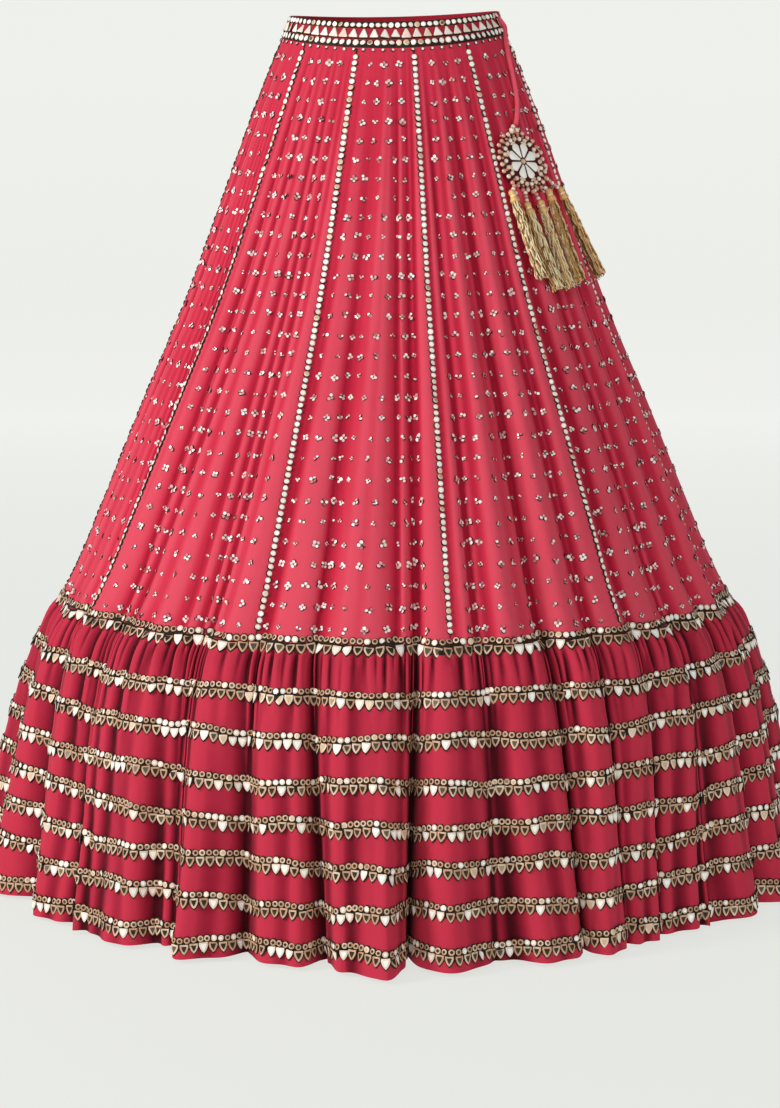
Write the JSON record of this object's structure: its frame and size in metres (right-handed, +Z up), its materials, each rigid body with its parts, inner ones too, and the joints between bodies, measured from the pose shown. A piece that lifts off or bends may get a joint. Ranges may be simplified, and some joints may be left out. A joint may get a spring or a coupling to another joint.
{
  "type": "lehenga skirt with a gathered ruffle and a tied latkan",
  "caption": "Flared rose-red lehenga skirt, worn shape, with a gathered ruffle, bands of mirror work and a drawstring that ends in a medallion with gold tassels.",
  "frame": {"origin": "middle of the waist opening, where the wearer's waist holds the skirt up", "axes": "+Z up through the waist opening, front of the skirt towards -Y, the wearer's left and the tied drawstring towards +X"},
  "size_m": [1.1129, 1.1347, 1.116],
  "materials": {
    "waistband": "rose-red cloth covered with rows of small mirrors in gold rims on dark thread",
    "panel_cloth": "soft matt georgette with scattered diamonds of sequins",
    "ruffle_cloth": "soft matt georgette with bands of round and drop-shaped mirrors",
    "cord": "rolled tube of the same cloth",
    "mirror_beads": "mirror petals and beads with gold rims on dark cloth",
    "gold_thread": "antique gold thread with a soft metal sheen"
  },
  "bodies": {
    "root": {"waistband_front": "waistband", "waistband_back": "waistband", "panel_01": "panel_cloth", "panel_02": "panel_cloth", "panel_03": "panel_cloth", "panel_04": "panel_cloth", "panel_05": "panel_cloth", "panel_06": "panel_cloth", "panel_07": "panel_cloth", "panel_08": "panel_cloth", "panel_09": "panel_cloth", "panel_10": "panel_cloth", "panel_11": "panel_cloth", "panel_12": "panel_cloth", "ruffle_width_1": "ruffle_cloth", "ruffle_width_2": "ruffle_cloth", "ruffle_width_3": "ruffle_cloth", "ruffle_width_4": "ruffle_cloth", "ruffle_width_5": "ruffle_cloth", "ruffle_width_6": "ruffle_cloth", "drawstring": "cord", "medallion": "mirror_beads", "tassel_1": "gold_thread", "tassel_2": "gold_thread", "tassel_3": "gold_thread", "tassel_4": "gold_thread", "tassel_5": "gold_thread"}
  },
  "joints": []
}
